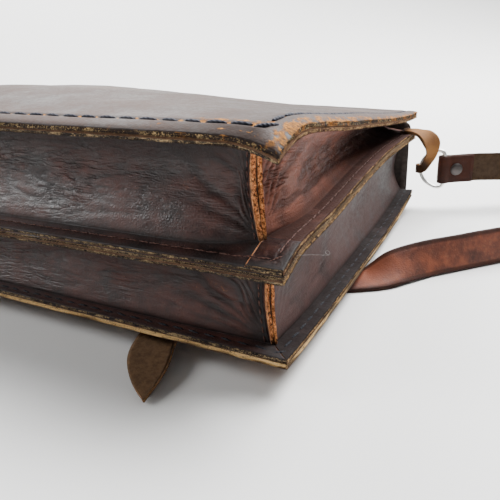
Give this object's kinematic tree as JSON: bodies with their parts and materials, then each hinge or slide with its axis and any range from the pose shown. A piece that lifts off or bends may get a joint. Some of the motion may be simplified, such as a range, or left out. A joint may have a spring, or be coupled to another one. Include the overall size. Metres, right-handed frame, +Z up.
{
  "type": "leather messenger bag",
  "caption": "Soft leather messenger bag lying on its front, with compartments between sewn gussets, a flap, closure straps and a shoulder strap.",
  "frame": {"origin": "middle of the whole bag's footprint on the surface it lies on", "axes": "+X to the bag's right side, +Y from its bottom edge to its mouth, +Z up out of its back panel"},
  "size_m": [0.7478, 0.3598, 0.1276],
  "materials": {
    "back_leather": "worn dark brown, grey sheen",
    "gusset_leather": "dark reddish brown, creased",
    "strap_leather": "reddish brown, burnished edges",
    "tan_leather": "raw tan suede",
    "ring_steel": "plain steel wire",
    "rivet_metal": "dark antique"
  },
  "bodies": {
    "root": {"back_panel": "back_leather", "divider_panel": "gusset_leather", "front_panel": "back_leather", "upper_bottom_gusset": "gusset_leather", "lower_bottom_gusset": "gusset_leather", "upper_side_gusset_left": "gusset_leather", "upper_side_gusset_right": "gusset_leather", "lower_side_gusset_left": "gusset_leather", "lower_side_gusset_right": "gusset_leather", "flap": "back_leather", "closure_strap_left": "strap_leather", "closure_strap_right": "strap_leather", "closure_keeper_left": "strap_leather", "closure_keeper_right": "strap_leather", "ring_tab_left": "tan_leather", "ring_tab_right": "tan_leather", "strap_ring_left": "ring_steel", "strap_ring_right": "ring_steel", "shoulder_strap": "strap_leather", "strap_rivet_left": "rivet_metal", "strap_rivet_right": "rivet_metal"}
  },
  "joints": []
}
